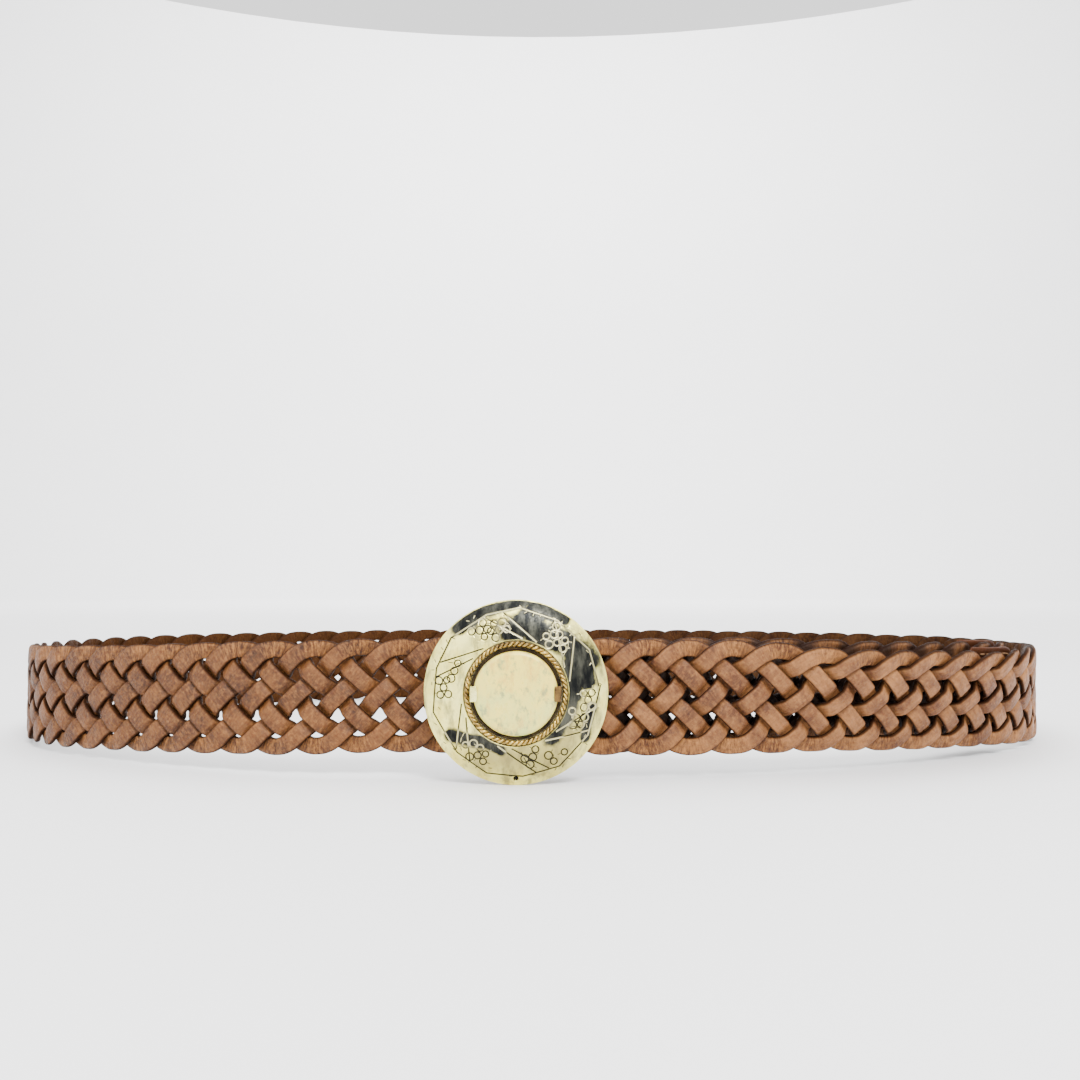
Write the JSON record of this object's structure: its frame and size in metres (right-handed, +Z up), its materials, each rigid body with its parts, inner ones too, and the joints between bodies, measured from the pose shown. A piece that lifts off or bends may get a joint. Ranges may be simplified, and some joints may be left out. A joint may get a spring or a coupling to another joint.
{
  "type": "braided leather belt",
  "caption": "Flat-braided leather belt fastened as a closed loop, with a round domed metal hook buckle set with a pale stone.",
  "frame": {"origin": "on the surface that the belt stands on, under the middle of its overall box", "axes": "+Z up, across the strap; -Y out of the buckle's face; +X towards the side that the bar is on"},
  "size_m": [0.3963, 0.2552, 0.054],
  "materials": {
    "strand_leather": "waxed",
    "tip_leather": "waxed",
    "thread": "waxed",
    "aged_brass": "aged",
    "rope_brass": "aged",
    "bone": "polished",
    "bed_wood": "plain"
  },
  "bodies": {
    "waist_strap": {"waist_strand_1": "strand_leather", "waist_strand_2": "strand_leather", "waist_strand_3": "strand_leather", "waist_strand_4": "strand_leather", "waist_strand_5": "strand_leather", "waist_strand_6": "strand_leather"},
    "buckle_end": {"thong_bottom": "strand_leather", "thong_middle": "strand_leather", "thong_top": "strand_leather"},
    "buckle": {"back_plate": "aged_brass", "dome": "aged_brass", "stone_cup": "aged_brass", "stone_bed": "bed_wood", "stone": "bone", "claw_left": "aged_brass", "claw_right": "aged_brass", "rope_ring": "rope_brass", "bail": "aged_brass", "hook": "aged_brass", "hook_pad": "aged_brass"},
    "tail_end": {"tail_strand_1": "strand_leather", "tail_strand_2": "strand_leather", "tail_strand_3": "strand_leather", "tail_strand_4": "strand_leather", "tail_strand_5": "strand_leather", "tail_strand_6": "strand_leather", "tip_outer_ply": "tip_leather", "tip_inner_ply": "tip_leather", "tip_stitches": "thread"}
  },
  "joints": [
    {"name": "buckle_end_flex", "type": "hinge", "parent": "waist_strap", "child": "buckle_end", "pos_m": [0.05063, -0.11232, 0.02435], "axis": [0, 0, 1], "range_deg": [0, 30], "stiffness_Nm_per_rad": 0.05},
    {"name": "buckle_pivot", "type": "hinge", "parent": "buckle_end", "child": "buckle", "pos_m": [0.011, -0.11437, 0.0249], "axis": [0, 0, 1], "range_deg": [-8, 15]},
    {"name": "tail_flex", "type": "hinge", "parent": "waist_strap", "child": "tail_end", "pos_m": [-0.04971, -0.10402, 0.02433], "axis": [0, 0, 1], "range_deg": [0, 25], "stiffness_Nm_per_rad": 0.05}
  ]
}
